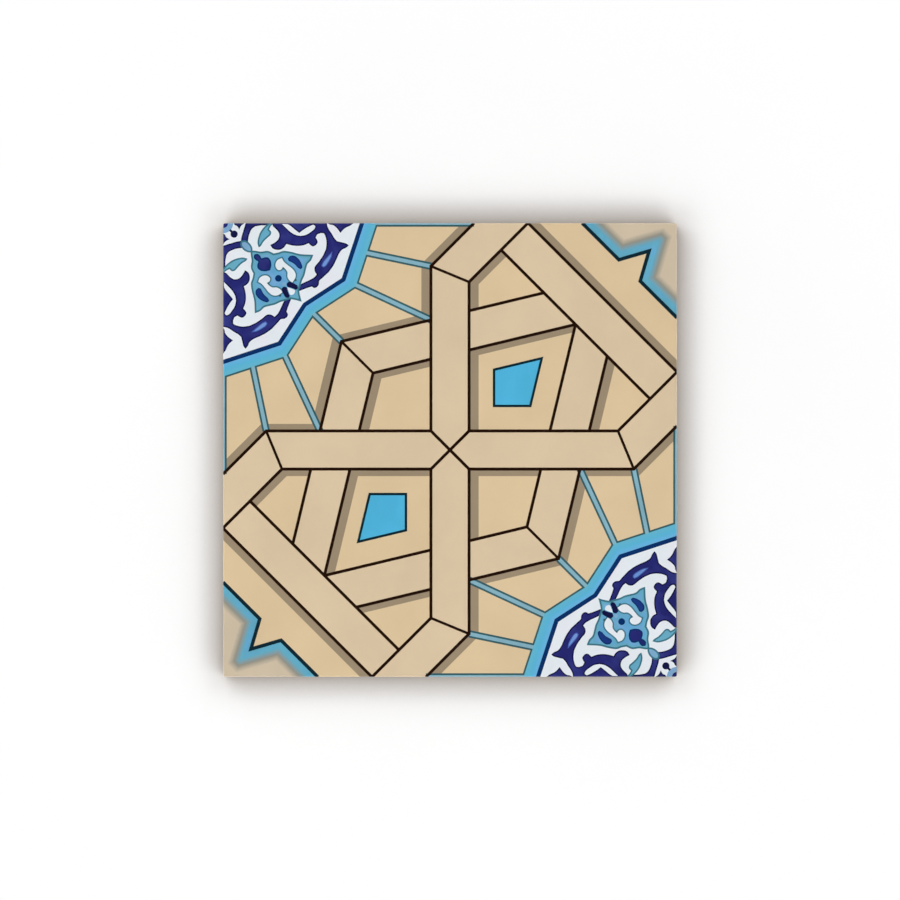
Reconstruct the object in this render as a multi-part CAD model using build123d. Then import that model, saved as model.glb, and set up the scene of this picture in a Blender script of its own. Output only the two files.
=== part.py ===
from build123d import *
import os

# A square wall tile, pressed and fired as one piece, with a glazed face and a keyed back.
# It lies on its back. The origin is the middle of the back, X and Y run along the sides,
# and Z points out of the glazed face. Lengths are in millimetres.

SIDE = 200.0  # each edge of the square
THICKNESS = 8.0  # from the ribs of the back to the glazed face
ARRIS = 0.8  # radius of the edge round the glazed face and of the four upright corners
BACK_BEVEL = 0.6  # bevel round the back
KEY_BORDER = 7.0  # flat border round the recesses of the back
KEY_RIB = 3.0  # flat rib between two recesses
KEY_ROWS = 8  # recesses along each side
KEY_DEPTH = 0.5  # depth of a recess below the ribs
KEY_CORNER = 2.5  # corner radius of a recess

ON_BACK = (Align.CENTER, Align.CENTER, Align.MIN)


def rounded_block():
    """The square block with its glazed face and its upright corners eased to one radius."""
    block = Box(SIDE, SIDE, THICKNESS, align=ON_BACK)
    face_edges = block.faces().sort_by(Axis.Z)[-1].edges()
    upright_edges = block.edges().filter_by(Axis.Z)
    return fillet(face_edges + upright_edges, ARRIS)


def bevelled_envelope():
    """A plain block of the tile's outer size with a 45 degree bevel round its back."""
    back_side = SIDE - 2 * BACK_BEVEL
    bevel = extrude(Rectangle(back_side, back_side), BACK_BEVEL, taper=-45)
    upper = Pos(Z=BACK_BEVEL) * Box(SIDE, SIDE, THICKNESS - BACK_BEVEL, align=ON_BACK)
    return bevel + upper


def key_recesses():
    """The air of the shallow square recesses that key the back into its bed."""
    pitch = (SIDE - 2 * KEY_BORDER + KEY_RIB) / KEY_ROWS
    width = pitch - KEY_RIB
    recess = extrude(RectangleRounded(width, width, KEY_CORNER), KEY_DEPTH)
    return [place * recess for place in GridLocations(pitch, pitch, KEY_ROWS, KEY_ROWS)]


def tile():
    """The whole tile as one solid."""
    return (rounded_block() & bevelled_envelope()) - key_recesses()


os.makedirs("parts", exist_ok=True)
export_step(tile(), "parts/tile.step")
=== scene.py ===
import math

import bpy
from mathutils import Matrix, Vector, noise
from mathutils.geometry import delaunay_2d_cdt


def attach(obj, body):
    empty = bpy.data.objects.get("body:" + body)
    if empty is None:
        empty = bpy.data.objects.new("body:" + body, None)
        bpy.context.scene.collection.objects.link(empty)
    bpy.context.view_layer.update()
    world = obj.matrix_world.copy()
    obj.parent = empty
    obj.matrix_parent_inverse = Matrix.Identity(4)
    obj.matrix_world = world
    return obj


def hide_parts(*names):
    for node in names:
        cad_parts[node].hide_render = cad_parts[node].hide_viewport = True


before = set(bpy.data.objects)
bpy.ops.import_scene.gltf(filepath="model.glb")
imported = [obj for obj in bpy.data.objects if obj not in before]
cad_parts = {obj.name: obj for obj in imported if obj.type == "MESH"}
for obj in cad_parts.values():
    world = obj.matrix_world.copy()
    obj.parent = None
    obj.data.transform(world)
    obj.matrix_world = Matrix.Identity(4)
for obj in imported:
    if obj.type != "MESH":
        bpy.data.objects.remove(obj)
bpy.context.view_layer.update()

# The drawing is laid out in millimetres on the tile seen from the front: x runs right and y runs down
# from the top left corner. Its lines mirror onto themselves across both diagonals, so only a part of them
# is drawn, and flipped or turned copies make the rest. In the closed cells the flat shades fall as from
# light at the top left.

MM = 1000  # millimetres in a metre
EPSILON = 0.0005  # points nearer than this are one
TINY = 1e-6  # lengths under this are nothing

SIDE = 200.0  # each edge of the square
THICKNESS = 8.0  # from the back to the glazed face
ARRIS = 0.8  # radius of the edge round the glazed face and of the upright corners
BACK_BEVEL = 0.6  # bevel round the back
KEY_BORDER = 7.0  # flat border round the recesses of the back
KEY_RIB = 3.0  # flat rib between two recesses
KEY_ROWS = 8  # recesses along each side
KEY_DEPTH = 0.5  # depth of a recess
KEY_CORNER = 2.5  # corner radius of a recess
KEY_DRAFT = 0.3  # how far a recess narrows towards its floor

STRAP = 16.8  # width of a strap between its outlines
CROSSING = 122.5  # from a medallion corner along the edge to the middle of a slanting strap
TILT = 13.5  # how far the short arms lean, in degrees
OUTLINE = 1.35  # width of the black outlines
MITRE = 1.2  # width of the black lines across a strap's bends
STAR_LINE = 1.6  # width of the dark star line
GROOVE = 0.12  # how far the dark lines sink between the pools of glaze
SHADE_ACROSS = 4.2  # width of the drawn shades beside upright edges
SHADE_DOWN = 3.1  # width of the drawn shades beside level edges
LIT_SIDE = 0.3  # edges that face down and right by more than this throw a shade
KITE_INSET = 11.0  # from the strap's outline to the blue kite
KITE_LINE = 1.1  # width of the kite's outline

CURVE_STEPS = 7  # straight edges between two points of a curve
DISC_STEPS = 18  # straight edges round a disc
IN_LINE = 1e-3  # edges that bend by less than this run on in line
NEARLY = 0.99  # share of an inset's width that its points keep from the outline

HALF = STRAP / 2
NEAR = CROSSING - HALF * math.sqrt(2)
FAR = CROSSING + HALF * math.sqrt(2)
LOW = SIDE / 2 - HALF
HIGH = SIDE / 2 + HALF


# Plane geometry


def line_through(p, q):
    a, b = q[1] - p[1], p[0] - q[0]
    return a, b, a * p[0] + b * p[1]


def meet(first, second):
    a, b, c = first
    d, e, f = second
    scale = a * e - b * d
    return (c * e - b * f) / scale, (a * f - c * d) / scale


def keep(points):
    return list(points)


def flip(points):
    return [(y, x) for x, y in points]


def turn(points):
    return [(SIDE - x, SIDE - y) for x, y in points]


def swap(points):
    return turn(flip(points))


MEDALLION_CORNERS = (keep, turn)
STAR_CORNERS = (keep, flip)
ALL_ROUND = (keep, flip, turn, swap)


def signed_area(points):
    return sum(p[0] * q[1] - q[0] * p[1] for p, q in zip(points, points[1:] + points[:1])) / 2


def distance_to(point, a, b):
    """Distance from a point to the segment from a to b."""
    dx, dy = b[0] - a[0], b[1] - a[1]
    along = ((point[0] - a[0]) * dx + (point[1] - a[1]) * dy) / (dx * dx + dy * dy)
    along = min(max(along, 0.0), 1.0)
    return math.hypot(point[0] - a[0] - along * dx, point[1] - a[1] - along * dy)


def inset(points, width):
    """The polygon with its edges moved inwards, by one width or by a width for each edge."""
    count = len(points)
    widths = width if isinstance(width, (list, tuple)) else [width] * count
    side = 1 if signed_area(points) > 0 else -1
    moved = []
    for p, q, w in zip(points, points[1:] + points[:1], widths):
        length = math.dist(p, q)
        nx, ny = -side * (q[1] - p[1]) / length, side * (q[0] - p[0]) / length
        w = w(nx, ny) if callable(w) else w
        moved.append(((p[0] + nx * w, p[1] + ny * w), (q[0] + nx * w, q[1] + ny * w)))
    return [corner_of(moved[i - 1], moved[i]) for i in range(count)]


def corner_of(first, second):
    """Where two moved edges meet, or the start of the second where they run on in line."""
    before, after = line_through(*first), line_through(*second)
    bend = before[0] * after[1] - before[1] * after[0]
    in_line = abs(bend) < IN_LINE * math.dist(*first) * math.dist(*second)
    return second[0] if in_line else meet(before, after)


def inset_curve(points, width):
    """A many-sided outline moved inwards, without the loops that sharp tips would leave.
    Its edges along the top of the tile stay there."""
    edges = list(zip(points, points[1:] + points[:1]))
    drawn = [(a, b) for a, b in edges if max(a[1], b[1]) > EPSILON]
    moved = inset(points, [width if edge in drawn else 0.0 for edge in edges])
    on_tile = [p for p in moved if p[1] > -EPSILON]
    apart = abs(width) * NEARLY
    return [p for p in on_tile if min(distance_to(p, a, b) for a, b in drawn) > apart]


def shade_width(nx, ny):
    return math.hypot(SHADE_ACROSS * nx, SHADE_DOWN * ny)


def shade_from_upper_left(nx, ny):
    return shade_width(nx, ny) if nx + ny > LIT_SIDE else 0.0


def normal(a, b):
    length = math.dist(a, b)
    return -(b[1] - a[1]) / length, (b[0] - a[0]) / length


def stroke(path, width):
    """A line of one width along a path, with mitred corners."""
    sides = []
    for side in (width / 2, -width / 2):
        row = []
        for i, (x, y) in enumerate(path):
            before = normal(path[max(i - 1, 0)], path[max(i, 1)])
            after = normal(path[min(i, len(path) - 2)], path[min(i + 1, len(path) - 1)])
            mx, my = before[0] + after[0], before[1] + after[1]
            reach = 2 * side / (mx * mx + my * my)
            row.append((x + mx * reach, y + my * reach))
        sides.append(row)
    return sides[0] + sides[1][::-1]


def blend_points(a, b, share):
    return a[0] + (b[0] - a[0]) * share, a[1] + (b[1] - a[1]) * share


def curve(points):
    """A smooth open curve through the points (centripetal Catmull-Rom)."""
    first = blend_points(points[0], points[1], -1)
    last = blend_points(points[-1], points[-2], -1)
    row = [first, *points, last]
    out = []
    for p0, p1, p2, p3 in zip(row, row[1:], row[2:], row[3:]):
        t1 = math.sqrt(math.dist(p0, p1))
        t2 = t1 + math.sqrt(math.dist(p1, p2))
        t3 = t2 + math.sqrt(math.dist(p2, p3))
        for step in range(CURVE_STEPS):
            t = t1 + (t2 - t1) * step / CURVE_STEPS
            a = blend_points(p0, p1, t / t1)
            b = blend_points(p1, p2, (t - t1) / (t2 - t1))
            c = blend_points(p2, p3, (t - t2) / (t3 - t2))
            d = blend_points(a, b, t / t2)
            e = blend_points(b, c, (t - t1) / (t3 - t1))
            out.append(blend_points(d, e, (t - t1) / (t2 - t1)))
    return out + [points[-1]]


def outline(*runs):
    """A closed outline of smooth runs that meet in sharp corners; it closes with a straight edge."""
    out = []
    for run in runs:
        out += curve(run)
    return [p for p, q in zip(out, out[1:] + out[:1]) if math.dist(p, q) > TINY]


def mirrored(*runs):
    """A closed outline across the diagonal: the runs on one side, then their flips back."""
    back = [flip(run)[::-1] for run in runs[::-1]]
    return outline(*runs, *back)


def disc(x, y, radius):
    turns = [2 * math.pi * i / DISC_STEPS for i in range(DISC_STEPS)]
    return [(x + radius * math.cos(a), y + radius * math.sin(a)) for a in turns]


# The drawing: painted shapes from the lowest to the topmost, and the dark lines that sink in


class Drawing:
    def __init__(self):
        self.shapes = []
        self.grooves = []

    def paint(self, paint, points, moves=(keep,)):
        for move in moves:
            self.shapes.append((paint, move(points)))

    def pool(self, rim, paint, outlines, width, moves):
        """Curved shapes that run into each other, filled inside a rim of another paint."""
        for points in outlines:
            self.paint(rim, points, moves)
        for points in outlines:
            self.paint(paint, inset_curve(points, width), moves)

    def ink(self, path, width, moves=(keep,), paint="ink"):
        self.paint(paint, stroke(path, width), moves)
        for move in moves:
            self.grooves.append((move(path), width))


LEFT_EDGE = (1, 0, LOW)
RIGHT_EDGE = (1, 0, HIGH)
TOP_EDGE = (0, 1, LOW)
RISE_NEAR = (1, 1, NEAR)
RISE_FAR = (1, 1, FAR)
RISE_FAR_TURNED = (1, 1, 2 * SIDE - FAR)
BAR_NEAR = (1, -1, NEAR)
DIAGONAL = (1, -1, 0)
ANTIDIAGONAL = (1, 1, SIDE)

BEND_NEAR = meet(LEFT_EDGE, RISE_NEAR)
BEND_FAR = meet(RIGHT_EDGE, RISE_FAR)
KITE_TIP = meet(BAR_NEAR, ANTIDIAGONAL)
SLOPE = math.tan(math.radians(TILT))
ARM_RISE = STRAP / math.cos(math.radians(TILT))
ARM_INNER = (SLOPE, 1, SLOPE * KITE_TIP[0] + KITE_TIP[1])
ARM_OUTER = (SLOPE, 1, ARM_INNER[2] - ARM_RISE)
CROSS_ARM_INNER = line_through(*swap([KITE_TIP, (KITE_TIP[0] - 1, KITE_TIP[1] + SLOPE)]))
ELBOW_OUTER = meet(ARM_OUTER, DIAGONAL)
ELBOW_INNER = meet(ARM_INNER, DIAGONAL)
ARM_OUTER_END = meet(LEFT_EDGE, ARM_OUTER)
ARM_INNER_END = meet(LEFT_EDGE, ARM_INNER)

MEDALLION = [(0.0, 0.0), (61.4, 0.0), (53.2, 25.0), (36.1, 36.1), (25.0, 53.2), (0.0, 61.4)]
RING = (6.7, 6.0)  # from the medallion's outline to the ring's outside, by the axes and by the diagonal
RING_LINE = 0.8  # how far the navy line reaches outside the medallion's outline
RING_LINE_IN = 1.1  # how far it reaches inside
RING_EDGE = 0.8  # width of the teal ring's dark edge
NAVY_RIM = 0.6  # width of the darker rim that navy shapes have
SPOKE = 3.3  # width of the teal lines with their dark edges
SPOKE_CORE = 1.6  # width of the teal lines between their edges
SPOKE_START = 0.58  # share of the way from the medallion's middle at which they start, under the ring
LONG_SPOKE_START = 0.72  # the same for the one on the diagonal
LEAF_RIM = 0.7  # widths of the rims of the medallion's other shapes
SLIT_RIM = 0.4
BUD_RIM = 0.75
FLOWER_RIM = 0.8
FLOWER_SKY = 1.7  # from the flower's outline to its bluer middle
SPADE_RIM = 0.7
DROP_RIM = 0.5
CURL_RIM = 0.6
CURL_SPOT = 0.6  # radius of the dark spots in the bends of a curl
STAR = [(158.2, 0.0), (174.4, 16.2), (187.7, 12.3), (183.8, 25.6), (200.0, 41.8)]
STAR_BAND = 3.0  # from the star line to where its teal band begins to fade
STAR_GLOW = 8.2  # from the star line to where the band has faded into the sandy corner
STAR_BLUNT = 12.0  # the same at the star's tip, where the fading ends bluntly


def draw_cells(art):
    """The sandy ground between the straps, with the flat shades that the straps throw on it."""
    art.paint("strap", [(0, 0), (SIDE, 0), (SIDE, SIDE), (0, SIDE)])
    half = [(NEAR, 0), BEND_NEAR, ARM_OUTER_END]
    round_medallion = [(0, 0), *half, ELBOW_OUTER, *flip(half)[::-1]]
    widths = [0, *[shade_width] * (len(round_medallion) - 2), 0]
    art.paint("shade", round_medallion, MEDALLION_CORNERS)
    art.paint("field", inset(round_medallion, widths), MEDALLION_CORNERS)
    round_star = [(FAR, 0), (SIDE, 0), (SIDE, SIDE - FAR)]
    art.paint("shade", round_star, STAR_CORNERS)
    art.paint("field", inset(round_star, [0, 0, shade_width]), STAR_CORNERS)
    inner = [ELBOW_INNER, ARM_INNER_END, (LOW, LOW), *flip([ARM_INNER_END])]
    small = [BEND_FAR, meet(RISE_FAR, BAR_NEAR), meet(BAR_NEAR, ARM_OUTER), meet(RIGHT_EDGE, ARM_OUTER)]
    cells = [move(inner) for move in MEDALLION_CORNERS] + [move(small) for move in ALL_ROUND]
    cells += [move(kite_cell()) for move in STAR_CORNERS]
    for cell in cells:
        art.paint("shade", cell)
        art.paint("field", inset(cell, [shade_from_upper_left] * len(cell)))


def kite_cell():
    return [meet(RIGHT_EDGE, ARM_INNER), KITE_TIP, meet(TOP_EDGE, CROSS_ARM_INNER), (HIGH, LOW)]


def draw_kites(art):
    kite = inset(kite_cell(), KITE_INSET)
    art.paint("teal_line", inset(kite, -KITE_LINE / 2), STAR_CORNERS)
    art.paint("kite", inset(kite, KITE_LINE / 2), STAR_CORNERS)


def draw_stars(art):
    star = [*STAR, (SIDE, 0.0)]
    sides = len(STAR) - 1
    corner = inset(star, [STAR_GLOW] * sides + [0, 0])
    blunt = (1, -1, STAR[2][0] - STAR[2][1] + STAR_BLUNT * math.sqrt(2))
    ends = [meet(line_through(a, b), blunt) for a, b in zip(corner[1:3], corner[2:4])]
    art.paint("teal", star, STAR_CORNERS)
    art.paint("glow", inset(star, [STAR_BAND] * sides + [0, 0]), STAR_CORNERS)
    art.paint("corner", [*corner[:2], *ends, *corner[3:]], STAR_CORNERS)


def draw_spokes(art):
    """The teal lines from the medallion's ring to the bends of the straps."""
    ends = [(NEAR, 0.0), BEND_NEAR, ARM_OUTER_END]
    spokes = [[blend_points((0, 0), end, SPOKE_START), end] for end in ends]
    long_spoke = [blend_points((0, 0), ELBOW_OUTER, LONG_SPOKE_START), ELBOW_OUTER]
    art.paint("spoke_edge", ring(*RING), MEDALLION_CORNERS)
    for paint, width in (("spoke_edge", SPOKE), ("spoke", SPOKE_CORE)):
        for spoke in spokes:
            art.paint(paint, stroke(spoke, width), ALL_ROUND)
        art.paint(paint, stroke(long_spoke, width), MEDALLION_CORNERS)


def ring(by_axes, by_diagonal):
    """The medallion's outline moved outwards, its two edges on the tile's edges left alone."""
    return inset(MEDALLION, [0, -by_axes, -by_diagonal, -by_diagonal, -by_axes, 0])


def draw_ring(art):
    art.paint("ring", ring(*[reach - RING_EDGE for reach in RING]), MEDALLION_CORNERS)
    art.paint("deep", ring(RING_LINE, RING_LINE), MEDALLION_CORNERS)
    art.paint("white", ring(-RING_LINE_IN, -RING_LINE_IN), MEDALLION_CORNERS)


def draw_heart(art):
    """The small flower at the medallion's middle and the navy scrolls round it."""
    spade = outline(
        [(4.6, 0), (5.2, 0.9), (6.1, 1.3), (6.7, 2.0), (7.1, 3.0)],
        [(7.1, 3.0), (7.6, 1.9), (8.2, 1.0), (9.6, 0)],
    )
    petal = outline(
        [(2.3, 0.0), (2.1, 0.9), (1.6, 1.6)],
        [(3.1, 3.1), (3.9, 2.3), (4.3, 1.2), (4.6, 0.0)],
    )
    scroll = outline(
        [(10.0, 0), (9.4, 2.0), (8.8, 4.0), (8.2, 6.0), (7.8, 8.3)],
        [(11.0, 8.5), (11.2, 6.5), (11.8, 4.4), (12.8, 2.5), (14.2, 1.5)],
        [(14.2, 1.5), (16.5, 1.1), (19.3, 0.9), (20.6, 0)],
    )
    art.paint("pale", petal, ALL_ROUND)
    art.pool("navy_rim", "navy", [spade], NAVY_RIM, ALL_ROUND)
    art.paint("navy_rim", stroke([(3.0, 3.0), (4.9, 4.9)], 1.0), MEDALLION_CORNERS)
    art.paint("navy_rim", disc(4.9, 4.9, 1.6), MEDALLION_CORNERS)
    middle = [(0, 0), (2.3, 0), (2.1, 0.9), (1.6, 1.6), (0.9, 2.1), (0, 2.3)]
    art.paint("navy", middle, MEDALLION_CORNERS)
    art.pool("navy_rim", "navy", [scroll], NAVY_RIM, ALL_ROUND)


def draw_leaf(art):
    leaf = outline(
        [(15.7, 10.8), (15.2, 8.6), (15.7, 5.9), (16.7, 3.6), (18.3, 1.6), (20.2, 0)],
        [(22.4, 0), (21.0, 1.5), (20.3, 2.8)],
        [(20.3, 2.8), (21.2, 3.9), (21.0, 5.2), (19.6, 6.5), (17.9, 8.2), (16.6, 10.2), (15.7, 10.8)],
    )
    art.pool("teal_edge", "leaf", [leaf], LEAF_RIM, ALL_ROUND)


def draw_branch(art):
    """The navy branch: a scrolled bar on the medallion's axis that runs on into a thorn and a stem,
    which ends under the flower."""
    bar = outline(
        [(21.6, 0.0), (22.0, 1.3), (23.0, 2.3), (24.1, 3.5), (24.8, 5.1), (24.3, 7.2), (22.8, 8.6),
         (20.8, 9.7)],
        [(20.8, 9.7), (21.9, 11.2), (23.6, 11.8), (25.6, 11.6), (27.1, 10.5), (27.9, 9.2)],
        [(27.9, 9.2), (30.0, 9.8), (32.6, 10.1), (35.4, 9.8), (37.7, 8.9)],
        [(37.7, 8.9), (38.6, 9.8), (39.6, 10.3), (40.8, 9.8), (41.7, 8.5), (41.4, 7.4), (40.8, 6.4)],
        [(40.8, 6.4), (41.6, 5.0), (43.2, 4.3), (46.0, 0.0)],
    )
    branch = outline(
        [(45.8, 0.0), (46.0, 1.4), (46.6, 2.8), (47.9, 4.7), (49.0, 6.6), (50.2, 8.0)],
        [(50.2, 8.0), (52.3, 8.5), (54.4, 9.1), (55.4, 9.9)],
        [(55.4, 9.9), (54.2, 10.9), (52.4, 11.8), (51.1, 13.5), (50.0, 16.0), (48.6, 18.8), (46.6, 21.6)],
        [(46.6, 21.6), (43.8, 24.2), (42.4, 25.5), (42.2, 27.0), (41.4, 28.2), (40.2, 28.6), (39.1, 28.0)],
        [(39.1, 28.0), (37.4, 28.5), (35.8, 29.1), (33.0, 30.2)],
        [(33.0, 27.6), (36.0, 26.1), (38.2, 25.1), (40.2, 23.9), (41.3, 22.7)],
        [(41.3, 22.7), (40.4, 21.2), (40.4, 19.4), (42.1, 17.2), (44.0, 14.4), (45.3, 11.6)],
        [(45.3, 11.6), (45.6, 8.8), (45.2, 6.2), (44.4, 4.6), (43.0, 4.3), (42.6, 2.0), (43.0, 0.0)],
    )
    art.pool("navy_rim", "navy", [bar, branch], NAVY_RIM, ALL_ROUND)


def draw_eye(art):
    """The white lens with a navy diamond inside the bar."""
    lens = outline(
        [(26.0, 0.4), (27.7, 2.1), (29.9, 4.1), (32.1, 5.3), (34.2, 5.7)],
        [(34.2, 5.7), (36.6, 5.2), (38.7, 3.9), (40.3, 2.5), (40.6, 1.4), (39.9, 0.8)],
    )
    diamond = outline(
        [(27.6, 0), (29.8, 1.3), (31.7, 2.9), (33.6, 4.4)],
        [(33.6, 4.4), (35.4, 3.0), (37.4, 1.8), (40.2, 0.5)],
        [(40.2, 0.5), (40.4, 0.0)],
    )
    art.paint("navy_rim", inset_curve(lens, -NAVY_RIM), ALL_ROUND)
    art.paint("white", lens, ALL_ROUND)
    art.pool("navy_rim", "navy", [diamond], NAVY_RIM, ALL_ROUND)


def draw_finial(art):
    """The light blue slit in the branch and the finial beside it."""
    slit = outline(
        [(48.2, 12.4), (47.8, 14.8), (46.5, 17.4), (45.2, 19.1), (44.1, 19.5), (43.3, 18.8)],
        [(43.3, 18.8), (43.9, 17.4), (45.5, 15.4), (46.9, 13.8), (48.2, 12.4)],
    )
    finial = outline(
        [(45.9, 0), (47.2, 0.7), (48.6, 1.0), (50.2, 2.3), (51.7, 4.4)],
        [(51.7, 4.4), (52.9, 3.0), (54.2, 2.0), (56.0, 1.2), (57.6, 0)],
    )
    art.pool("cobalt", "slit", [slit], SLIT_RIM, ALL_ROUND)
    art.pool("navy_rim", "navy", [finial], NAVY_RIM, ALL_ROUND)


def draw_flower(art):
    """The light blue flower on the medallion's diagonal, with the bud that carries it."""
    flower = mirrored(
        [(12.2, 12.2), (14.0, 12.2), (16.6, 12.6), (19.8, 12.3), (22.3, 13.4)],
        [(22.3, 13.4), (24.4, 13.0), (26.6, 12.3), (30.0, 12.7), (34.0, 13.7), (39.8, 14.0)],
        [(39.8, 14.0), (38.8, 16.4), (37.2, 18.2), (36.5, 20.6), (35.9, 23.0), (34.8, 25.4), (34.2, 27.6)],
        [(34.2, 27.6), (33.6, 29.4), (33.9, 31.8), (34.7, 34.7)],
    )
    bud = mirrored([(7.9, 7.9), (9.9, 7.7), (11.8, 9.0), (12.9, 11.0), (13.0, 13.0)])
    art.pool("teal_edge", "pale", [bud], BUD_RIM, MEDALLION_CORNERS)
    art.pool("teal_edge", "leaf", [flower], FLOWER_RIM, MEDALLION_CORNERS)
    art.paint("sky", inset_curve(flower, FLOWER_SKY), MEDALLION_CORNERS)


def draw_flower_marks(art):
    """The navy spade, drops and dot, the white curls and heart, and the dark roots on the flower."""
    spade = mirrored(
        [(13.8, 13.8), (15.3, 13.6), (16.4, 14.5), (17.0, 15.5), (18.4, 15.1), (20.0, 15.3), (21.1, 16.7)],
        [(21.1, 16.7), (21.3, 18.7), (20.8, 20.8)],
    )
    drop = outline(
        [(28.6, 15.6), (29.6, 14.5), (31.4, 14.4), (33.2, 15.7), (34.5, 17.7), (34.9, 19.6), (34.2, 20.4)],
        [(34.2, 20.4), (33.0, 19.7), (31.6, 18.2), (30.0, 17.2), (28.9, 16.6), (28.6, 15.6)],
    )
    curl = outline(
        [(25.9, 15.5), (26.8, 17.0), (28.6, 18.6), (30.6, 20.2), (31.9, 22.2), (31.8, 24.2), (30.5, 26.2)],
        [(30.5, 26.2), (29.2, 25.2), (28.4, 23.6), (28.4, 21.8), (27.6, 20.4), (26.4, 19.3)],
        [(26.4, 19.3), (25.6, 20.5), (24.4, 20.7), (23.3, 19.6), (23.2, 17.8), (24.2, 16.2), (25.9, 15.5)],
    )
    root = outline(
        [(28.0, 26.8), (28.9, 25.9), (30.4, 26.2), (31.8, 26.9), (32.9, 27.6)],
        [(32.9, 27.6), (32.9, 28.8), (32.2, 29.4), (31.2, 29.0), (29.8, 28.5), (28.4, 28.1), (28.0, 26.8)],
    )
    heart = mirrored([(28.3, 28.3), (29.9, 28.8), (31.7, 29.8), (31.3, 31.3)])
    art.pool("deep", "navy", [spade], SPADE_RIM, MEDALLION_CORNERS)
    art.pool("deep", "drop", [drop], DROP_RIM, ALL_ROUND)
    art.paint("teal_edge", inset_curve(curl, -CURL_RIM), ALL_ROUND)
    for spot in ((26.8, 19.9), (31.9, 25.1)):
        art.paint("spoke_edge", disc(*spot, CURL_SPOT), ALL_ROUND)
    art.paint("white", curl, ALL_ROUND)
    art.paint("deep", disc(24.4, 24.4, 1.5), MEDALLION_CORNERS)
    art.paint("pale", disc(26.9, 26.9, 0.9), MEDALLION_CORNERS)
    art.paint("navy_rim", root, ALL_ROUND)
    art.paint("white", heart, MEDALLION_CORNERS)


def draw_outlines(art):
    """The black outlines of the straps, the lines across their bends and the star lines."""
    rise, outer_rise = [(NEAR, 0), BEND_NEAR], [(FAR, 0), BEND_FAR]
    art.ink([*rise, (LOW, LOW), *flip(rise)[::-1]], OUTLINE, MEDALLION_CORNERS)
    art.ink([*outer_rise, (HIGH, LOW), *swap(outer_rise)[::-1]], OUTLINE, STAR_CORNERS)
    art.ink([(FAR, 0), (SIDE, SIDE - FAR)], OUTLINE, STAR_CORNERS)
    art.ink([meet(BAR_NEAR, RISE_FAR), meet(BAR_NEAR, RISE_FAR_TURNED)], OUTLINE, STAR_CORNERS)
    art.ink([ARM_OUTER_END, ELBOW_OUTER, *flip([ARM_OUTER_END])], OUTLINE, MEDALLION_CORNERS)
    art.ink([ARM_INNER_END, ELBOW_INNER, *flip([ARM_INNER_END])], OUTLINE, MEDALLION_CORNERS)
    art.ink([meet(RIGHT_EDGE, ARM_OUTER), meet(BAR_NEAR, ARM_OUTER)], OUTLINE, ALL_ROUND)
    art.ink([meet(RIGHT_EDGE, ARM_INNER), KITE_TIP], OUTLINE, ALL_ROUND)
    art.ink([BEND_NEAR, BEND_FAR], MITRE, ALL_ROUND)
    art.ink([ELBOW_OUTER, ELBOW_INNER], MITRE, MEDALLION_CORNERS)
    art.ink([(LOW, LOW), (HIGH, HIGH)], OUTLINE)
    art.ink([(HIGH, LOW), (LOW, HIGH)], OUTLINE)
    art.ink(STAR, STAR_LINE, STAR_CORNERS, "teal_line")


def whole_drawing():
    art = Drawing()
    draw_cells(art)
    draw_kites(art)
    draw_stars(art)
    draw_spokes(art)
    draw_ring(art)
    draw_heart(art)
    draw_leaf(art)
    draw_branch(art)
    draw_eye(art)
    draw_finial(art)
    draw_flower(art)
    draw_flower_marks(art)
    draw_outlines(art)
    return art


# Materials; lengths in them are in metres

GLOSS = 0.14  # roughness of the glaze
POOLS = (42.0, 4.0)  # scale and detail of the glaze's thicker and thinner pools
WAVES = (150.0, 2.0)  # scale and detail of the waves in its gloss
WAVE_DEPTH = 0.00005
FLOOR_PAINTED_SHADE = 0.038  # how far the painted shade on the floor reaches beside what stands on it
FLOOR_AWAY = (0.16, 0.24)  # from the tile's middle, where the floor turns into the white backdrop


def linear(red, green, blue):
    """A colour as it is seen, 0 to 255, as the shader's numbers."""
    parts = [v / 255 for v in (red, green, blue)]
    return tuple(v / 12.92 if v <= 0.04045 else ((v + 0.055) / 1.055) ** 2.4 for v in parts)


def scaled(colour, factor):
    return tuple(min(v * factor, 1.0) for v in colour)


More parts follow.
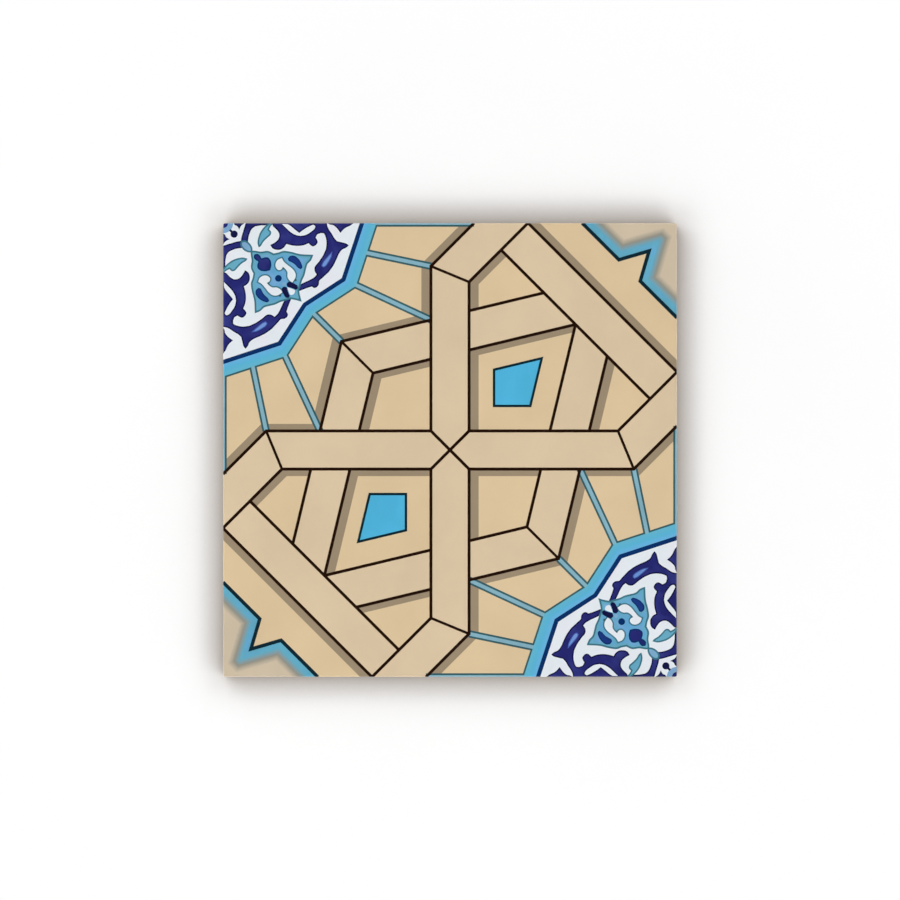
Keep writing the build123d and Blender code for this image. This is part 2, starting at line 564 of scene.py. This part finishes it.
class Nodes:
    """A material's node tree with the few joins that the finishes here need."""

    def __init__(self, name):
        self.material = bpy.data.materials.new(name)
        self.material.use_nodes = True
        self.tree = self.material.node_tree
        self.shader = self.tree.nodes["Principled BSDF"]
        self.coordinates = self.add("ShaderNodeTexCoord").outputs["Object"]

    def add(self, kind, **settings):
        node = self.tree.nodes.new(kind)
        for key, value in settings.items():
            setattr(node, key, value)
        return node

    def link(self, output, socket):
        self.tree.links.new(output, socket)

    def noise(self, scale, detail, stretch=None):
        node = self.add("ShaderNodeTexNoise")
        node.inputs["Scale"].default_value = scale
        node.inputs["Detail"].default_value = detail
        source = self.coordinates
        if stretch:
            mapping = self.add("ShaderNodeMapping")
            mapping.inputs["Scale"].default_value = stretch
            mapping.inputs["Rotation"].default_value = (0, 0, math.radians(35))
            self.link(source, mapping.inputs["Vector"])
            source = mapping.outputs["Vector"]
        self.link(source, node.inputs["Vector"])
        return node.outputs["Fac"]

    def spread(self, value, low, high, to_low=0.0, to_high=1.0):
        node = self.add("ShaderNodeMapRange")
        settings = {"From Min": low, "From Max": high, "To Min": to_low, "To Max": to_high}
        for key, number in settings.items():
            node.inputs[key].default_value = number
        self.link(value, node.inputs["Value"])
        return node.outputs["Result"]

    def mix(self, factor, first, second):
        node = self.add("ShaderNodeMix", data_type="RGBA")
        self.link(factor, node.inputs["Factor"])
        for socket, colour in ((node.inputs[6], first), (node.inputs[7], second)):
            if isinstance(colour, tuple):
                socket.default_value = (*colour, 1.0)
            else:
                self.link(colour, socket)
        return node.outputs[2]

    def least(self, first, second):
        return self.compare("MINIMUM", first, second)

    def most(self, first, second):
        return self.compare("MAXIMUM", first, second)

    def compare(self, operation, first, second):
        node = self.add("ShaderNodeMath", operation=operation)
        self.link(first, node.inputs[0])
        self.link(second, node.inputs[1])
        return node.outputs["Value"]

    def bump(self, height, depth, under=None):
        node = self.add("ShaderNodeBump")
        node.inputs["Distance"].default_value = depth
        self.link(height, node.inputs["Height"])
        if under:
            self.link(under, node.inputs["Normal"])
        return node.outputs["Normal"]

    def finish(self, colour, roughness, bumps):
        self.link(colour, self.shader.inputs["Base Color"])
        self.link(roughness, self.shader.inputs["Roughness"])
        self.link(bumps, self.shader.inputs["Normal"])
        return self.material


def glaze(name, colour, pooling, streaks=0.0, washes=()):
    """Fired glaze: thicker and thinner pools, faint flecks, brush streaks, washes of other colours
    that run into it, and a slightly wavy gloss."""
    n = Nodes(name)
    pools = n.noise(*POOLS)
    flecks = n.noise(1500.0, 2.0)
    pooled = n.mix(n.spread(pools, 0.32, 0.68), scaled(colour, 1 - pooling), scaled(colour, 1 + pooling))
    for i, wash in enumerate(washes):
        runs = n.noise(105.0 + 37.0 * i, 2.0)
        pooled = n.mix(n.spread(runs, 0.48, 0.7, 0.0, 0.65), pooled, wash)
    if streaks:
        brushed = n.noise(260.0, 3.0, (1.0, 0.28, 1.0))
        pooled = n.mix(n.spread(brushed, 0.48, 0.8, 0.0, streaks), pooled, scaled(colour, 1.9))
    flecked = n.mix(n.spread(flecks, 0.55, 0.85, 0.0, 0.16), pooled, scaled(colour, 0.8))
    roughness = n.spread(pools, 0.3, 0.7, GLOSS * 0.75, GLOSS * 1.35)
    waves = n.bump(n.noise(*WAVES), WAVE_DEPTH)
    return n.finish(flecked, roughness, n.bump(n.noise(1100.0, 2.0), 0.000004, waves))


def ink(name, colour):
    """Dry outline that fires nearly matt: grainy, with thin places where the body shows through."""
    n = Nodes(name)
    grain = n.noise(1900.0, 3.0)
    worn = n.noise(420.0, 3.0)
    dry = n.mix(n.spread(grain, 0.4, 0.75, 0.0, 0.5), colour, scaled(colour, 1.9))
    thin = n.mix(n.spread(worn, 0.64, 0.85, 0.0, 0.25), dry, linear(88, 60, 34))
    n.shader.inputs["Specular IOR Level"].default_value = 0.08
    return n.finish(thin, n.spread(grain, 0.3, 0.7, 0.34, 0.5), n.bump(grain, 0.00001))


def faded(name, start, middle, end):
    """Glaze that runs through three colours across a band, along the mesh's fade."""
    n = Nodes(name)
    fade = n.add("ShaderNodeAttribute", attribute_name="fade").outputs["Fac"]
    pools = n.noise(*POOLS)
    grains = n.noise(900.0, 3.0)
    soft = n.mix(n.spread(fade, 0.0, 0.5), start, middle)
    softer = n.mix(n.spread(fade, 0.5, 1.0), soft, end)
    flecked = n.mix(n.spread(grains, 0.5, 0.85, 0.0, 0.12), softer, scaled(middle, 0.85))
    roughness = n.spread(pools, 0.3, 0.7, 0.11, 0.19)
    return n.finish(flecked, roughness, n.bump(n.noise(*WAVES), WAVE_DEPTH))


def biscuit(name):
    """Bare fired body: buff, gritty and matt, with dark and pale grains."""
    n = Nodes(name)
    clouds = n.noise(60.0, 5.0)
    grit = n.noise(1300.0, 4.0)
    specks = n.noise(700.0, 1.0)
    buff = n.mix(n.spread(clouds, 0.3, 0.7), linear(196, 163, 127), linear(206, 175, 140))
    dark = n.mix(n.spread(grit, 0.58, 0.8, 0.0, 0.5), buff, linear(146, 110, 78))
    pale = n.mix(n.spread(grit, 0.42, 0.22, 0.0, 0.5), dark, linear(226, 208, 182))
    speckled = n.mix(n.spread(specks, 0.7, 0.76, 0.0, 0.6), pale, linear(120, 84, 60))
    coarse = n.bump(n.noise(500.0, 5.0), 0.00012)
    return n.finish(speckled, n.spread(clouds, 0.3, 0.7, 0.78, 0.92), n.bump(grit, 0.00005, coarse))


def floor_finish(name):
    """A plain white studio floor with painted shade: its colour darkens softly, by ambient occlusion,
    beside what stands on it, and it stays white far off.
    """
    n = Nodes(name)
    near = n.add("ShaderNodeAmbientOcclusion", samples=16)
    near.inputs["Distance"].default_value = FLOOR_PAINTED_SHADE
    cloud = n.noise(6.0, 3.0)
    white = n.mix(n.spread(cloud, 0.3, 0.7), (0.96, 0.96, 0.96), (0.98, 0.98, 0.98))
    # painted shade: the floor's colour is mixed towards grey where ambient occlusion finds the tile close
    # by
    floor_with_painted_shade = n.mix(n.spread(near.outputs["AO"], 0.45, 0.95), (0.38, 0.38, 0.38), white)
    n.shader.inputs["Specular IOR Level"].default_value = 0.1
    n.finish(floor_with_painted_shade, n.spread(cloud, 0.3, 0.7, 0.8, 0.9), n.bump(n.noise(300.0, 3.0), 0.00005))
    length = n.add("ShaderNodeVectorMath", operation="LENGTH")
    n.link(n.coordinates, length.inputs[0])
    away = n.spread(length.outputs["Value"], *FLOOR_AWAY)
    path = n.add("ShaderNodeLightPath")
    direct = n.most(path.outputs["Is Camera Ray"], path.outputs["Is Glossy Ray"])
    seen = n.most(direct, path.outputs["Is Transmission Ray"])
    backdrop = n.add("ShaderNodeEmission")
    blend = n.add("ShaderNodeMixShader")
    n.link(n.least(seen, away), blend.inputs["Fac"])
    n.link(n.shader.outputs["BSDF"], blend.inputs[1])
    n.link(backdrop.outputs["Emission"], blend.inputs[2])
    n.link(blend.outputs["Shader"], n.tree.nodes["Material Output"].inputs["Surface"])
    return n.material


def finishes():
    teal, taupe, sand = linear(98, 169, 194), linear(147, 145, 133), linear(206, 190, 166)
    green, lilac = linear(104, 166, 178), linear(124, 168, 216)
    return {
        "strap": glaze("glaze_strap", linear(217, 196, 164), 0.03),
        "field": glaze("glaze_field", linear(219, 195, 157), 0.035),
        "shade": glaze("glaze_shade", linear(155, 138, 114), 0.04),
        "glow": faded("glaze_glow", teal, taupe, sand),
        "corner": glaze("glaze_corner", sand, 0.04),
        "teal": glaze("glaze_teal", teal, 0.07, 0.10, (linear(104, 168, 216),)),
        "ring": faded("glaze_ring", linear(106, 176, 224), linear(90, 178, 211), linear(102, 180, 204)),
        "spoke": glaze("glaze_spoke", linear(131, 174, 190), 0.06, 0.10),
        "spoke_edge": glaze("glaze_spoke_edge", linear(54, 92, 98), 0.08, 0.12),
        "teal_edge": glaze("glaze_teal_edge", linear(60, 114, 130), 0.08, 0.12),
        "kite": glaze("glaze_kite", linear(80, 178, 218), 0.06, 0.06),
        "teal_line": ink("line_teal", linear(10, 36, 46)),
        "navy": glaze("glaze_navy", linear(36, 38, 106), 0.14, 0.25, (linear(58, 64, 136),)),
        "navy_rim": glaze("glaze_navy_rim", linear(18, 20, 64), 0.14, 0.10),
        "deep": glaze("glaze_deep", linear(8, 46, 98), 0.12, 0.08),
        "drop": glaze("glaze_drop", linear(28, 54, 124), 0.12, 0.10),
        "cobalt": glaze("glaze_cobalt", linear(70, 96, 172), 0.08, 0.10),
        "white": glaze("glaze_white", linear(226, 233, 238), 0.03, 0.0, (linear(230, 228, 238),)),
        "sky": glaze("glaze_sky", linear(96, 162, 204), 0.07, 0.12, (green, lilac)),
        "leaf": glaze("glaze_leaf", linear(102, 167, 194), 0.08, 0.12, (green,)),
        "pale": glaze("glaze_pale", linear(124, 165, 202), 0.06, 0.10, (linear(116, 172, 194),)),
        "slit": glaze("glaze_slit", linear(106, 146, 208), 0.06, 0.10, (linear(128, 152, 214),)),
        "ink": ink("line_black", linear(30, 13, 4)),
        "lip": glaze("glaze_lip", linear(226, 215, 194), 0.04),
        "biscuit": biscuit("biscuit"),
    }


# The tile's mesh, in millimetres about its middle until it is handed over

ARRIS_STEPS = 4  # rings over the eased edge
CORNER_STEPS = 5  # edges round an upright corner
EDGE_STEP = 4.0  # spacing of the points along the tile's edges
LIP = 6.3  # height at which the glaze ends on the tile's sides
LIP_WAVE = 0.45  # how far that line wanders
LIP_SLOW = 0.05  # waves in it for each millimetre: long ones
LIP_QUICK = 0.31  # and short ones
COAT = 0.06  # how far the glaze stands out from the bare side


def rounded_square(reach, radius):
    """Points round a square with rounded corners, spaced alike along each side."""
    straight = SIDE / 2 - ARRIS
    count = int(straight / EDGE_STEP)
    run = [i * EDGE_STEP for i in range(-count, count + 1)]
    side = [(reach, y) for y in run]
    middle = reach - radius
    for i in range(CORNER_STEPS + 1):
        angle = math.pi / 2 * i / CORNER_STEPS
        side.append((middle + radius * math.cos(angle), middle + radius * math.sin(angle)))
    points = []
    for _ in range(4):
        points += side
        side = [(-y, x) for x, y in side]
    return points


def edge_reach(x, y):
    """How far a point lies out over the eased edge, and in which direction."""
    straight = SIDE / 2 - ARRIS
    dx = math.copysign(max(abs(x) - straight, 0.0), x)
    dy = math.copysign(max(abs(y) - straight, 0.0), y)
    return dx, dy, min(math.hypot(dx, dy), ARRIS)


def face_height(x, y):
    reach = edge_reach(x, y)[2]
    return THICKNESS - ARRIS + math.sqrt(ARRIS**2 - reach**2)


def moved_in(x, y, depth):
    """A point of the tile's outline moved inwards."""
    dx, dy, reach = edge_reach(x, y)
    share = depth / reach
    return x - dx * share, y - dy * share


def triangles(polygons, lines):
    """Cuts the plane along closed polygons and open lines. Returns the points, the triangles,
    the polygons that cover each triangle, and the input points that each point came from."""
    points, faces, edges = [], [], []
    for polygon in polygons:
        ring_of = polygon if signed_area(polygon) > 0 else polygon[::-1]
        faces.append(list(range(len(points), len(points) + len(ring_of))))
        points += ring_of
    for line in lines:
        edges += [(len(points) + i, len(points) + i + 1) for i in range(len(line) - 1)]
        points += line
    cut = delaunay_2d_cdt([Vector(p) for p in points], edges, faces, 1, EPSILON, True)
    return [tuple(p) for p in cut[0]], cut[2], cut[5], cut[3]


def centred(points):
    return [(x - SIDE / 2, SIDE / 2 - y) for x, y in points]


def groove_depth(point, grooves):
    """How far the nearest dark line sinks a point."""
    depth = 0.0
    for path, width in grooves:
        for a, b in zip(path, path[1:]):
            near = distance_to(point, a, b)
            if near < width / 2:
                depth = max(depth, GROOVE * (1 - near / (width / 2)))
    return depth


def star_distance(point, star):
    """How far a point lies behind the star line, square to its edges so that tips stay sharp."""
    behind = []
    for a, b in zip(star, star[1:]):
        nx, ny = normal(a, b)
        behind.append((point[0] - a[0]) * nx + (point[1] - a[1]) * ny)
    return max(min(behind[:2]), min(behind[2:]))


def fade_at(x, y):
    """0 to 1 across the soft shade beyond a star's band, and across a medallion's ring outwards."""
    if x * y > 0:
        stars = [centred(STAR), centred(flip(STAR))[::-1]]
        across = max(star_distance((x, y), star) for star in stars) - STAR_BAND
        return min(max(across / (STAR_GLOW - STAR_BAND), 0.0), 1.0)
    line = centred(MEDALLION[1:])
    spot = (x, y) if x < 0 else (-x, -y)
    away = min(distance_to(spot, a, b) for a, b in zip(line, line[1:])) - RING_LINE
    return min(max(away / (RING[1] - RING_EDGE - RING_LINE), 0.0), 1.0)


def border_of(faces):
    """The points round the outside of a set of triangles, in order."""
    following = {}
    directed = {(a, b) for face in faces for a, b in zip(face, [*face[1:], face[0]])}
    for a, b in directed:
        if (b, a) not in directed:
            following[a] = b
    start = next(iter(sorted(following)))
    border = [start]
    while following[border[-1]] != start:
        border.append(following[border[-1]])
    return border


class Shell:
    """The tile's faces with their finish and their place on the map of its surface."""

    def __init__(self):
        self.points = []
        self.faces = []
        self.paints = []
        self.places = []

    def add_points(self, points):
        first = len(self.points)
        self.points += points
        return list(range(first, len(self.points)))

    def add_face(self, face, paint, places):
        self.faces.append(list(face))
        self.paints.append(paint)
        self.places += places


MAP_FACE = 0.76  # share of the surface map's width that the glazed face takes
MAP_GAP = 0.005  # space between two parts of the map
MAP_BACK = 0.44  # share that the back's length takes; it is laid out in two halves
MAP_WALL = (0.05, 0.85)  # start and width of a side within its strip of the map


def face_place(x, y):
    """Place of a point of the face on the surface map, with the eased edge rolled flat."""
    dx, dy, reach = edge_reach(x, y)
    roll = ARRIS * math.asin(min(reach / ARRIS, 1.0)) / reach if reach > TINY else 1.0
    scale = MAP_FACE / (SIDE + ARRIS * (math.pi - 2) + 1)
    return tuple(MAP_FACE / 2 + MAP_GAP + (v + d * (roll - 1)) * scale for v, d in ((x, dx), (y, dy)))


def back_place(x, y, right):
    """Place of a point of the back on the surface map."""
    scale = MAP_BACK / SIDE
    u = MAP_GAP + (MAP_BACK + 2 * MAP_GAP) * right + (y + SIDE / 2) * scale
    v = MAP_FACE + 3 * MAP_GAP + (x if right else -x) * scale
    return u, v


def wall_place(quarter, along, down):
    """Place of a point of a side on the surface map: four upright strips."""
    start, width = MAP_WALL
    strip = (1 - MAP_FACE - 4 * MAP_GAP) / 4
    u = MAP_FACE + 3 * MAP_GAP + strip * (quarter + start + width * down / THICKNESS)
    return u, MAP_GAP + along * MAP_FACE


def add_glazed_face(shell):
    """The face, cut along every painted edge; returns the points of its outer border in order."""
    art = whole_drawing()
    rims = []
    for step in range(ARRIS_STEPS, -1, -1):
        radius = ARRIS * math.sin(math.pi / 2 * step / ARRIS_STEPS)
        rims.append(rounded_square(SIDE / 2 - ARRIS + radius, radius))
    rims[-1] = [p for p, q in zip(rims[-1], rims[-1][1:] + rims[-1][:1]) if math.dist(p, q) > EPSILON]
    polygons = rims + [centred(points) for paint, points in art.shapes]
    paints = [None] * len(rims) + [paint for paint, points in art.shapes]
    grooves = [(centred(path), width) for path, width in art.grooves]
    flat, faces, covers, _ = triangles(polygons, [path for path, width in grooves])
    kept = [(face, max(cover)) for face, cover in zip(faces, covers) if 0 in cover]
    used = sorted({i for face, top in kept for i in face})
    spots = [(*flat[i], face_height(*flat[i]) - groove_depth(flat[i], grooves)) for i in used]
    number = dict(zip(used, shell.add_points(spots)))
    for face, top in kept:
        places = [face_place(*flat[i]) for i in face]
        shell.add_face([number[i] for i in face], paints[top], places)
    return [number[i] for i in border_of([face for face, top in kept])]


def lip_height(x, y):
    """The wandering line where the glaze ends on the side."""
    slow = noise.noise(Vector((x * LIP_SLOW, y * LIP_SLOW, 2.0)))
    quick = noise.noise(Vector((x * LIP_QUICK, y * LIP_QUICK, 9.0)))
    return LIP + LIP_WAVE * (slow + 0.5 * quick)


def add_sides(shell, border):
    """The glaze's lip and the bare sides below it, down to the bevel; returns the lowest ring."""
    spots = [shell.points[i][:2] for i in border]
    lips = [lip_height(x, y) for x, y in spots]
    levels = [
        [(x, y, lip) for (x, y), lip in zip(spots, lips)],
        [(*moved_in(x, y, COAT), lip - COAT) for (x, y), lip in zip(spots, lips)],
        [(*moved_in(x, y, COAT), BACK_BEVEL) for x, y in spots],
        [(*moved_in(x, y, BACK_BEVEL), 0.0) for x, y in spots],
    ]
    upper = border
    for level, paint in zip(levels, ("lip", "lip", "biscuit", "biscuit")):
        lower = shell.add_points(level)
        add_band(shell, upper, lower, paint)
        upper = lower
    return upper


def add_band(shell, upper, lower, paint):
    count = len(upper)
    for i in range(count):
        j = (i + 1) % count
        ends = [shell.points[k] for k in (upper[i], upper[j], lower[j], lower[i])]
        x, y = (ends[0][0] + ends[1][0]) / 2, (ends[0][1] + ends[1][1]) / 2
        quarter = (0 if y < 0 else 2) if abs(y) > abs(x) else (1 if x > 0 else 3)
        places = []
        for px, py, pz in ends:
            along = (px if quarter in (0, 2) else py) / SIDE + 0.5
            places.append(wall_place(quarter, along, THICKNESS - pz))
        face = [upper[j], upper[i], lower[i], lower[j]]
        shell.add_face(face, paint, [places[k] for k in (1, 0, 3, 2)])


def key_recess(x, y, reach, radius):
    """Outline of a recess of the back about a middle."""
    points = []
    for quarter in range(4):
        for step in range(CORNER_STEPS + 1):
            angle = math.pi / 2 * (quarter + step / CORNER_STEPS)
            cx = math.copysign(reach - radius, math.cos(math.pi / 2 * quarter + math.pi / 4))
            cy = math.copysign(reach - radius, math.sin(math.pi / 2 * quarter + math.pi / 4))
            points.append((x + cx + radius * math.cos(angle), y + cy + radius * math.sin(angle)))
    return points


def add_back(shell, border):
    """The keyed back, closed onto the ring of points at the foot of the sides."""
    outline_of = [shell.points[i][:2] for i in border]
    pitch = (SIDE - 2 * KEY_BORDER + KEY_RIB) / KEY_ROWS
    reach = (pitch - KEY_RIB) / 2
    middles = [(i - (KEY_ROWS - 1) / 2) * pitch for i in range(KEY_ROWS)]
    mouths, floors = [], []
    for x in middles:
        for y in middles:
            mouths.append(key_recess(x, y, reach, KEY_CORNER))
            floors.append(key_recess(x, y, reach - KEY_DRAFT, KEY_CORNER - KEY_DRAFT))
    foot = SIDE / 2 - BACK_BEVEL
    flat, faces, covers, sources = triangles([outline_of, *mouths, *floors], [[(0, -foot), (0, foot)]])
    flipped = signed_area(outline_of) < 0
    sunk = {i for face, cover in zip(faces, covers) if max(cover, default=0) > len(mouths) for i in face}
    number = {}
    for i, spot in enumerate(flat):
        at = [s for s in sources[i] if s < len(border)]
        if at:
            number[i] = border[len(border) - 1 - at[0] if flipped else at[0]]
        else:
            number[i] = shell.add_points([(*spot, KEY_DEPTH if i in sunk else 0.0)])[0]
    for face, cover in zip(faces, covers):
        if 0 not in cover:
            continue
        right = sum(flat[i][0] for i in face) > 0
        places = [back_place(*flat[i], right) for i in face]
        shell.add_face([number[i] for i in face][::-1], "biscuit", places[::-1])


def make_tile():
    shell = Shell()
    add_back(shell, add_sides(shell, add_glazed_face(shell)))
    mesh = bpy.data.meshes.new("patterned_tile")
    mesh.from_pydata([tuple(v / MM for v in p) for p in shell.points], [], shell.faces)
    looks = finishes()
    names = list(looks)
    for name in names:
        mesh.materials.append(looks[name])
    mesh.polygons.foreach_set("material_index", [names.index(paint) for paint in shell.paints])
    surface = mesh.uv_layers.new(name="OFBake")
    surface.uv.foreach_set("vector", [v for place in shell.places for v in place])
    fade = mesh.attributes.new("fade", "FLOAT", "POINT")
    fade.data.foreach_set("value", [fade_at(*p[:2]) for p in shell.points])
    mesh.update()
    tile = bpy.data.objects.new("patterned_tile", mesh)
    bpy.context.scene.collection.objects.link(tile)
    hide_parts("tile")
    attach(tile, "root")


# Stage, light and camera, in metres, degrees and watts

FLOOR_REACH = 9.0
WALLS = ((0.0, 1.0), (0.35, 0.55), (0.7, 0.15), (0.95, 0.04))  # heights and greys of the studio's walls
LAMP_AWAY = 1.5  # from the tile's middle to each lamp
FILL_RISE = 30
FILL_SIZE = (1.5, 0.7)
FILLS = (
    ("near_left", 225, 10.6),
    ("near_right", 315, 9.1),
    ("far_left", 135, 9.1),
    ("far_right", 45, 8.1),
)
GLINT_RISE = 34
GLINT_SIZE = (0.42, 0.26)
GLINT_POWER = 0.8
GLINTS = (("right", 0), ("far", 90), ("left", 180), ("near", 270))
LENS = 100.0  # millimetres
SENSOR = 36.0  # millimetres
PHOTO_WIDTH = 900  # pixels across the photograph
TILE_IN_PHOTO = 454  # pixels across the object in it


def make_floor():
    """One wide triangle, so that no seam crosses the picture."""
    mesh = bpy.data.meshes.new("floor")
    turns = [2 * math.pi * i / 3 for i in range(3)]
    corners = [(FLOOR_REACH * math.cos(a), FLOOR_REACH * math.sin(a), 0) for a in turns]
    mesh.from_pydata(corners, [], [(0, 1, 2)])
    mesh.materials.append(floor_finish("studio_floor"))
    floor = bpy.data.objects.new("floor", mesh)
    bpy.context.scene.collection.objects.link(floor)


def make_world():
    """Studio walls that are white near the floor and dark overhead, so the glaze mirrors no glare."""
    world = bpy.data.worlds.new("studio")
    bpy.context.scene.world = world
    world.use_nodes = True
    tree = world.node_tree
    background = tree.nodes["Background"]
    coordinates = tree.nodes.new("ShaderNodeTexCoord")
    parts = tree.nodes.new("ShaderNodeSeparateXYZ")
    ramp = tree.nodes.new("ShaderNodeValToRGB")
    tree.links.new(coordinates.outputs["Generated"], parts.inputs[0])
    tree.links.new(parts.outputs["Z"], ramp.inputs["Fac"])
    stops = ramp.color_ramp.elements
    for place, grey in WALLS[1:-1]:
        stops.new(place)
    for stop, (place, grey) in zip(stops, WALLS):
        stop.position = place
        stop.color = (grey, grey, grey, 1.0)
    tree.links.new(ramp.outputs["Color"], background.inputs["Color"])


def make_lamp(name, azimuth, elevation, size, power, mirrored_in_glaze):
    """A soft lamp that faces the tile. Azimuth 0 is to the right, 90 at the top."""
    turn_by, rise = math.radians(azimuth), math.radians(elevation)
    level = LAMP_AWAY * math.cos(rise)
    place = Vector((level * math.cos(turn_by), level * math.sin(turn_by), LAMP_AWAY * math.sin(rise)))
    lamp = bpy.data.lights.new(name, "AREA")
    lamp.shape = "RECTANGLE"
    lamp.size, lamp.size_y = size
    lamp.energy = power
    holder = bpy.data.objects.new(name, lamp)
    holder.location = place
    holder.rotation_euler = (-place).to_track_quat("-Z", "Y").to_euler()
    holder.visible_camera = False
    holder.visible_glossy = mirrored_in_glaze
    bpy.context.scene.collection.objects.link(holder)


def make_lights():
    """Four wide fill lamps light the colours without glare, and four small ones glint in the glaze."""
    make_world()
    for name, azimuth, power in FILLS:
        make_lamp("fill_" + name, azimuth, FILL_RISE, FILL_SIZE, power, False)
    for name, azimuth in GLINTS:
        make_lamp("glint_" + name, azimuth, GLINT_RISE, GLINT_SIZE, GLINT_POWER, True)


def make_camera():
    """Straight above the tile, far enough off for the object to fill what it fills in the photograph."""
    camera = bpy.data.cameras.new("camera")
    camera.lens = LENS
    camera.sensor_width = SENSOR
    seen = SIDE / MM * PHOTO_WIDTH / TILE_IN_PHOTO
    holder = bpy.data.objects.new("camera", camera)
    holder.location = (0, 0, THICKNESS / MM + seen * LENS / SENSOR)
    bpy.context.scene.collection.objects.link(holder)
    bpy.context.scene.camera = holder


make_tile()
make_floor()
make_lights()
make_camera()
bpy.context.scene.view_settings.view_transform = "Standard"
